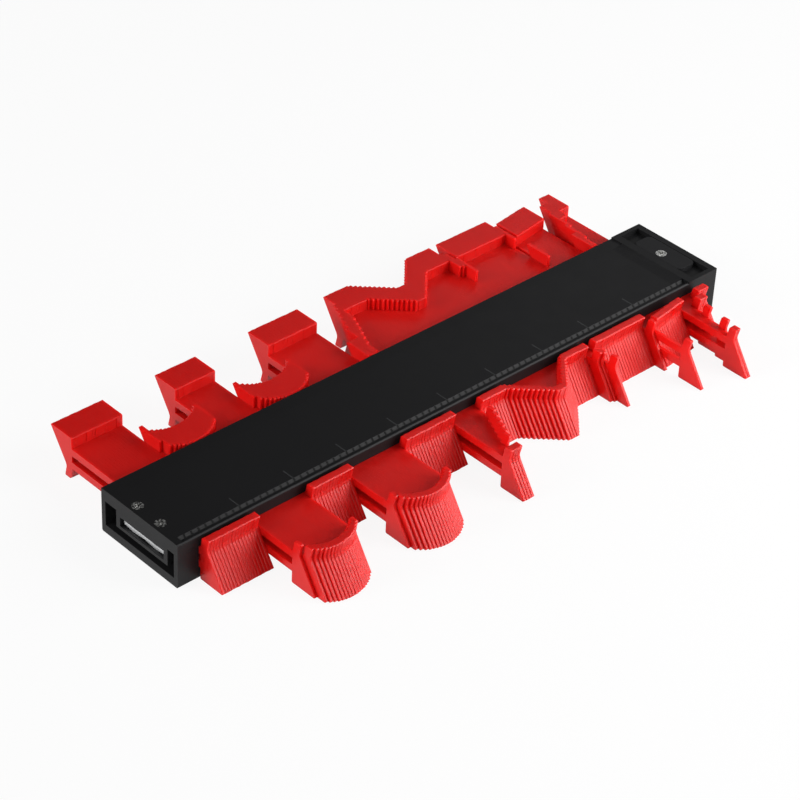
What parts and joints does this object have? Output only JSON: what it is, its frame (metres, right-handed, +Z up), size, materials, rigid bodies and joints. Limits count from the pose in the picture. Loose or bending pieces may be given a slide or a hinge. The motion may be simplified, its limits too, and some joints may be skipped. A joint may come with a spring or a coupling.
{
  "type": "contour gauge",
  "caption": "Contour gauge: a flat black casing with a stack of thin red sliding leaves that copy an outline, held by a wavy spring strip.",
  "frame": {"origin": "middle of the flat bottom face that the casing lies on", "axes": "+X along the casing from its open-framed left end to its solid right end, -Y towards the measuring side, +Z up"},
  "size_m": [0.28, 0.1295, 0.0199],
  "materials": {
    "black_abs": "satin moulded ABS",
    "black_pad": "satin moulded ABS",
    "red_leaf": "semi-gloss moulded ABS",
    "spring_steel": "rolled",
    "screw_steel": "zinc plated"
  },
  "bodies": {
    "casing": {"upper_cover": "black_abs", "lower_body": "black_abs", "strip_holder": "black_abs", "clamp_pad": "black_pad", "spring_strip": "spring_steel", "holder_screws": "screw_steel", "clamp_screw": "screw_steel"},
    "leaf_group_01": {"leaf_group_01": "red_leaf"},
    "leaf_group_02": {"leaf_group_02": "red_leaf"},
    "leaf_group_03": {"leaf_group_03": "red_leaf"},
    "leaf_group_04": {"leaf_group_04": "red_leaf"},
    "leaf_group_05": {"leaf_group_05": "red_leaf"},
    "leaf_group_06": {"leaf_group_06": "red_leaf"},
    "leaf_group_07": {"leaf_group_07": "red_leaf"},
    "leaf_group_08": {"leaf_group_08": "red_leaf"},
    "leaf_group_09": {"leaf_group_09": "red_leaf"},
    "leaf_group_10": {"leaf_group_10": "red_leaf"},
    "leaf_group_11": {"leaf_group_11": "red_leaf"},
    "leaf_group_12": {"leaf_group_12": "red_leaf"},
    "leaf_group_13": {"leaf_group_13": "red_leaf"},
    "leaf_group_14": {"leaf_group_14": "red_leaf"},
    "leaf_group_15": {"leaf_group_15": "red_leaf"},
    "leaf_group_16": {"leaf_group_16": "red_leaf"},
    "leaf_group_17": {"leaf_group_17": "red_leaf"},
    "leaf_group_18": {"leaf_group_18": "red_leaf"},
    "leaf_group_19": {"leaf_group_19": "red_leaf"},
    "leaf_group_20": {"leaf_group_20": "red_leaf"},
    "leaf_group_21": {"leaf_group_21": "red_leaf"},
    "leaf_group_22": {"leaf_group_22": "red_leaf"},
    "leaf_group_23": {"leaf_group_23": "red_leaf"},
    "leaf_group_24": {"leaf_group_24": "red_leaf"},
    "leaf_group_25": {"leaf_group_25": "red_leaf"},
    "leaf_group_26": {"leaf_group_26": "red_leaf"},
    "leaf_group_27": {"leaf_group_27": "red_leaf"},
    "leaf_group_28": {"leaf_group_28": "red_leaf"},
    "leaf_group_29": {"leaf_group_29": "red_leaf"},
    "leaf_group_30": {"leaf_group_30": "red_leaf"},
    "leaf_group_31": {"leaf_group_31": "red_leaf"},
    "leaf_group_32": {"leaf_group_32": "red_leaf"},
    "leaf_group_33": {"leaf_group_33": "red_leaf"},
    "leaf_group_34": {"leaf_group_34": "red_leaf"},
    "leaf_group_35": {"leaf_group_35": "red_leaf"},
    "leaf_group_36": {"leaf_group_36": "red_leaf"},
    "leaf_group_37": {"leaf_group_37": "red_leaf"},
    "leaf_group_38": {"leaf_group_38": "red_leaf"},
    "leaf_group_39": {"leaf_group_39": "red_leaf"},
    "leaf_group_40": {"leaf_group_40": "red_leaf"},
    "leaf_group_41": {"leaf_group_41": "red_leaf"},
    "leaf_group_42": {"leaf_group_42": "red_leaf"},
    "leaf_group_43": {"leaf_group_43": "red_leaf"},
    "leaf_group_44": {"leaf_group_44": "red_leaf"},
    "leaf_group_45": {"leaf_group_45": "red_leaf"},
    "leaf_group_46": {"leaf_group_46": "red_leaf"},
    "leaf_group_47": {"leaf_group_47": "red_leaf"},
    "leaf_group_48": {"leaf_group_48": "red_leaf"},
    "leaf_group_49": {"leaf_group_49": "red_leaf"}
  },
  "joints": [
    {"name": "leaf_group_01_slide", "type": "slide", "parent": "casing", "child": "leaf_group_01", "axis": [0, 1, 0], "range_m": [-0.03004, 0.00036]},
    {"name": "leaf_group_02_slide", "type": "slide", "parent": "casing", "child": "leaf_group_02", "axis": [0, 1, 0], "range_m": [-0.03004, 0.00036]},
    {"name": "leaf_group_03_slide", "type": "slide", "parent": "casing", "child": "leaf_group_03", "axis": [0, 1, 0], "range_m": [-0.03004, 0.00036]},
    {"name": "leaf_group_04_slide", "type": "slide", "parent": "casing", "child": "leaf_group_04", "axis": [0, 1, 0], "range_m": [-0.03004, 0.00036]},
    {"name": "leaf_group_05_slide", "type": "slide", "parent": "casing", "child": "leaf_group_05", "axis": [0, 1, 0], "range_m": [-0.00786, 0.02254]},
    {"name": "leaf_group_06_slide", "type": "slide", "parent": "casing", "child": "leaf_group_06", "axis": [0, 1, 0], "range_m": [-0.00113, 0.02683]},
    {"name": "leaf_group_07_slide", "type": "slide", "parent": "casing", "child": "leaf_group_07", "axis": [0, 1, 0], "range_m": [-0.00013, 0.02973]},
    {"name": "leaf_group_08_slide", "type": "slide", "parent": "casing", "child": "leaf_group_08", "axis": [0, 1, 0], "range_m": [-0.00021, 0.02924]},
    {"name": "leaf_group_09_slide", "type": "slide", "parent": "casing", "child": "leaf_group_09", "axis": [0, 1, 0], "range_m": [-0.00174, 0.02469]},
    {"name": "leaf_group_10_slide", "type": "slide", "parent": "casing", "child": "leaf_group_10", "axis": [0, 1, 0], "range_m": [-0.03004, 0.00036]},
    {"name": "leaf_group_11_slide", "type": "slide", "parent": "casing", "child": "leaf_group_11", "axis": [0, 1, 0], "range_m": [-0.03004, 0.00036]},
    {"name": "leaf_group_12_slide", "type": "slide", "parent": "casing", "child": "leaf_group_12", "axis": [0, 1, 0], "range_m": [-0.03004, 0.00036]},
    {"name": "leaf_group_13_slide", "type": "slide", "parent": "casing", "child": "leaf_group_13", "axis": [0, 1, 0], "range_m": [-0.00724, 0.02316]},
    {"name": "leaf_group_14_slide", "type": "slide", "parent": "casing", "child": "leaf_group_14", "axis": [0, 1, 0], "range_m": [-0.00179, 0.02545]},
    {"name": "leaf_group_15_slide", "type": "slide", "parent": "casing", "child": "leaf_group_15", "axis": [0, 1, 0], "range_m": [-0.00011, 0.02924]},
    {"name": "leaf_group_16_slide", "type": "slide", "parent": "casing", "child": "leaf_group_16", "axis": [0, 1, 0], "range_m": [-0.00018, 0.02926]},
    {"name": "leaf_group_17_slide", "type": "slide", "parent": "casing", "child": "leaf_group_17", "axis": [0, 1, 0], "range_m": [-0.00173, 0.02438]},
    {"name": "leaf_group_18_slide", "type": "slide", "parent": "casing", "child": "leaf_group_18", "axis": [0, 1, 0], "range_m": [-0.03004, 0.00036]},
    {"name": "leaf_group_19_slide", "type": "slide", "parent": "casing", "child": "leaf_group_19", "axis": [0, 1, 0], "range_m": [-0.03004, 0.00036]},
    {"name": "leaf_group_20_slide", "type": "slide", "parent": "casing", "child": "leaf_group_20", "axis": [0, 1, 0], "range_m": [-0.03004, 0.00036]},
    {"name": "leaf_group_21_slide", "type": "slide", "parent": "casing", "child": "leaf_group_21", "axis": [0, 1, 0], "range_m": [-0.03004, 0.00036]},
    {"name": "leaf_group_22_slide", "type": "slide", "parent": "casing", "child": "leaf_group_22", "axis": [0, 1, 0], "range_m": [-0.00021, 0.03019]},
    {"name": "leaf_group_23_slide", "type": "slide", "parent": "casing", "child": "leaf_group_23", "axis": [0, 1, 0], "range_m": [-0.00724, 0.01691]},
    {"name": "leaf_group_24_slide", "type": "slide", "parent": "casing", "child": "leaf_group_24", "axis": [0, 1, 0], "range_m": [-0.01661, 0.00755]},
    {"name": "leaf_group_25_slide", "type": "slide", "parent": "casing", "child": "leaf_group_25", "axis": [0, 1, 0], "range_m": [-0.03004, 0.00036]},
    {"name": "leaf_group_26_slide", "type": "slide", "parent": "casing", "child": "leaf_group_26", "axis": [0, 1, 0], "range_m": [-0.03004, 0.00036]},
    {"name": "leaf_group_27_slide", "type": "slide", "parent": "casing", "child": "leaf_group_27", "axis": [0, 1, 0], "range_m": [-0.02671, 0.00112]},
    {"name": "leaf_group_28_slide", "type": "slide", "parent": "casing", "child": "leaf_group_28", "axis": [0, 1, 0], "range_m": [-0.02156, 0.00498]},
    {"name": "leaf_group_29_slide", "type": "slide", "parent": "casing", "child": "leaf_group_29", "axis": [0, 1, 0], "range_m": [-0.01642, 0.01012]},
    {"name": "leaf_group_30_slide", "type": "slide", "parent": "casing", "child": "leaf_group_30", "axis": [0, 1, 0], "range_m": [-0.01627, 0.01413]},
    {"name": "leaf_group_31_slide", "type": "slide", "parent": "casing", "child": "leaf_group_31", "axis": [0, 1, 0], "range_m": [-0.0175, 0.00849]},
    {"name": "leaf_group_32_slide", "type": "slide", "parent": "casing", "child": "leaf_group_32", "axis": [0, 1, 0], "range_m": [-0.02339, 0.00112]},
    {"name": "leaf_group_33_slide", "type": "slide", "parent": "casing", "child": "leaf_group_33", "axis": [0, 1, 0], "range_m": [-0.02989, 0.00051]},
    {"name": "leaf_group_34_slide", "type": "slide", "parent": "casing", "child": "leaf_group_34", "axis": [0, 1, 0], "range_m": [-0.02989, 0.00051]},
    {"name": "leaf_group_35_slide", "type": "slide", "parent": "casing", "child": "leaf_group_35", "axis": [0, 1, 0], "range_m": [-0.02285, 0.00679]},
    {"name": "leaf_group_36_slide", "type": "slide", "parent": "casing", "child": "leaf_group_36", "axis": [0, 1, 0], "range_m": [-0.01719, 0.01321]},
    {"name": "leaf_group_37_slide", "type": "slide", "parent": "casing", "child": "leaf_group_37", "axis": [0, 1, 0], "range_m": [-0.02989, 0.00051]},
    {"name": "leaf_group_38_slide", "type": "slide", "parent": "casing", "child": "leaf_group_38", "axis": [0, 1, 0], "range_m": [-0.02989, 0.00051]},
    {"name": "leaf_group_39_slide", "type": "slide", "parent": "casing", "child": "leaf_group_39", "axis": [0, 1, 0], "range_m": [-0.02989, 0.00051]},
    {"name": "leaf_group_40_slide", "type": "slide", "parent": "casing", "child": "leaf_group_40", "axis": [0, 1, 0], "range_m": [-0.02989, 0.00051]},
    {"name": "leaf_group_41_slide", "type": "slide", "parent": "casing", "child": "leaf_group_41", "axis": [0, 1, 0], "range_m": [-0.02469, 0.00571]},
    {"name": "leaf_group_42_slide", "type": "slide", "parent": "casing", "child": "leaf_group_42", "axis": [0, 1, 0], "range_m": [-0.00633, 0.02407]},
    {"name": "leaf_group_43_slide", "type": "slide", "parent": "casing", "child": "leaf_group_43", "axis": [0, 1, 0], "range_m": [-0.02591, 0.00392]},
    {"name": "leaf_group_44_slide", "type": "slide", "parent": "casing", "child": "leaf_group_44", "axis": [0, 1, 0], "range_m": [-0.02668, 0.00315]},
    {"name": "leaf_group_45_slide", "type": "slide", "parent": "casing", "child": "leaf_group_45", "axis": [0, 1, 0], "range_m": [-0.02744, 0.0022]},
    {"name": "leaf_group_46_slide", "type": "slide", "parent": "casing", "child": "leaf_group_46", "axis": [0, 1, 0], "range_m": [-0.00021, 0.03019]},
    {"name": "leaf_group_47_slide", "type": "slide", "parent": "casing", "child": "leaf_group_47", "axis": [0, 1, 0], "range_m": [-0.00694, 0.01291]},
    {"name": "leaf_group_48_slide", "type": "slide", "parent": "casing", "child": "leaf_group_48", "axis": [0, 1, 0], "range_m": [-0.02423, 0.00617]},
    {"name": "leaf_group_49_slide", "type": "slide", "parent": "casing", "child": "leaf_group_49", "axis": [0, 1, 0], "range_m": [-0.02882, 0.00158]}
  ]
}
